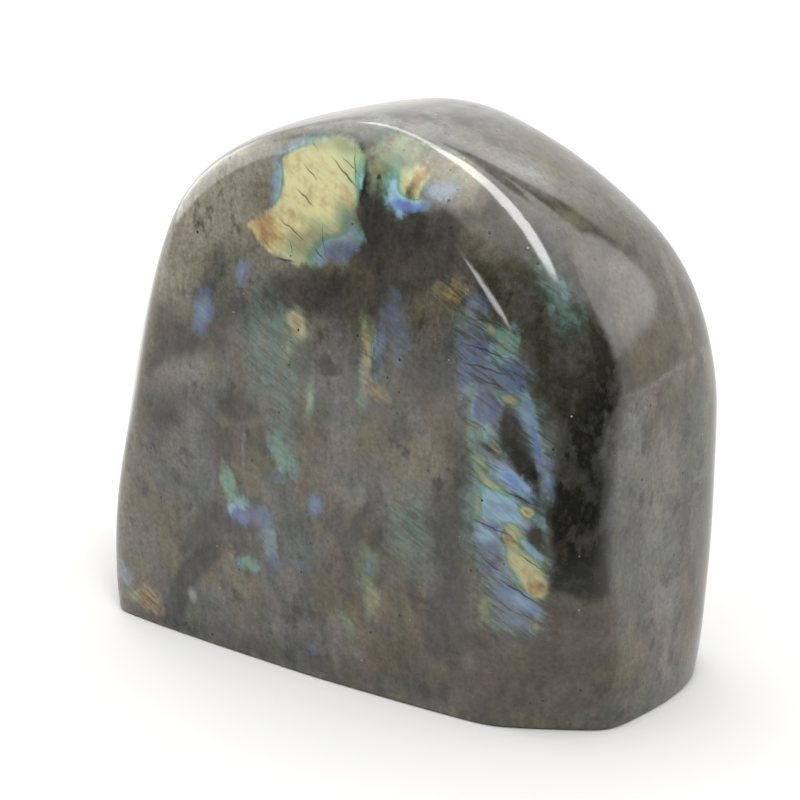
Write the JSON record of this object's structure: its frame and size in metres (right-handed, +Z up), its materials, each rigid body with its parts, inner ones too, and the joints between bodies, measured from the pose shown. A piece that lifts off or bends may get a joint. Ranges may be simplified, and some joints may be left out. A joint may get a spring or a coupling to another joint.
{
  "type": "polished labradorite freeform",
  "caption": "Flat-based piece of grey-green labradorite, ground and polished all over, with broad front and back faces and a rounded, faceted rim.",
  "frame": {"origin": "under the middle of the stone, on the flat base it stands on", "axes": "+X to the right along the broad front face, +Y to the back through the thickness, +Z up"},
  "size_m": [0.119, 0.0527, 0.1067],
  "materials": {
    "stone": "polished"
  },
  "bodies": {
    "root": {"labradorite_stone": "stone"}
  },
  "joints": []
}
